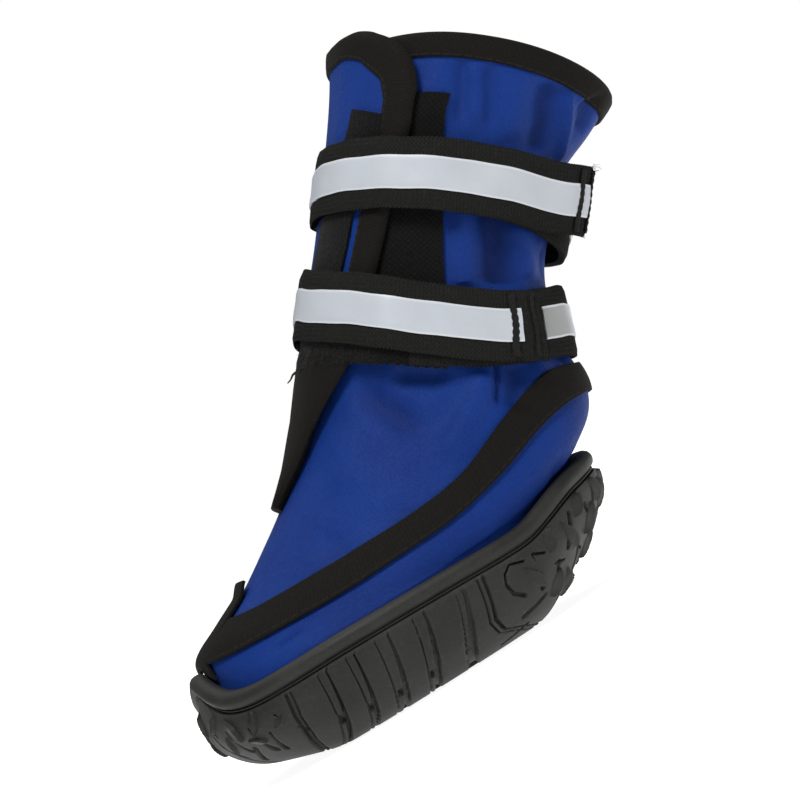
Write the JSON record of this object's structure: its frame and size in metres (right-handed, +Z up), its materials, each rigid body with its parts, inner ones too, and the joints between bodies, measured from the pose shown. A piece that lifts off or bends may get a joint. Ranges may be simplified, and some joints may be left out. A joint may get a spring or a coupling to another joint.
{
  "type": "dog boot",
  "caption": "Dog boot with a moulded rubber cup sole, a blue cloth upper with an overlapping closure flap, black bindings and hook-and-loop straps with reflective tape.",
  "frame": {"origin": "on the floor, under the middle of the sole, on the flat pad in the middle of the tread", "axes": "+X to the toe, +Y to the boot's left side, which the flap closes on, +Z up"},
  "size_m": [0.1546, 0.084, 0.1345],
  "materials": {
    "rubber": "matt moulded",
    "foam": "knitted face on foam",
    "cloth": "smooth brushed cloth",
    "binding": "woven tape",
    "loop": "hook-and-loop pile",
    "webbing": "ribbed webbing",
    "reflective": "satin reflective tape"
  },
  "bodies": {
    "root": {"sole": "rubber", "insole": "foam", "upper": "cloth", "collar_binding": "binding", "flap_binding": "binding", "side_tape_left": "binding", "side_tape_right": "binding", "toe_tape": "binding", "loop_patch": "loop", "flap_patch": "loop", "strap_upper": "webbing", "strap_lower": "webbing", "strap_upper_tape": "reflective", "strap_lower_tape": "reflective"}
  },
  "joints": []
}
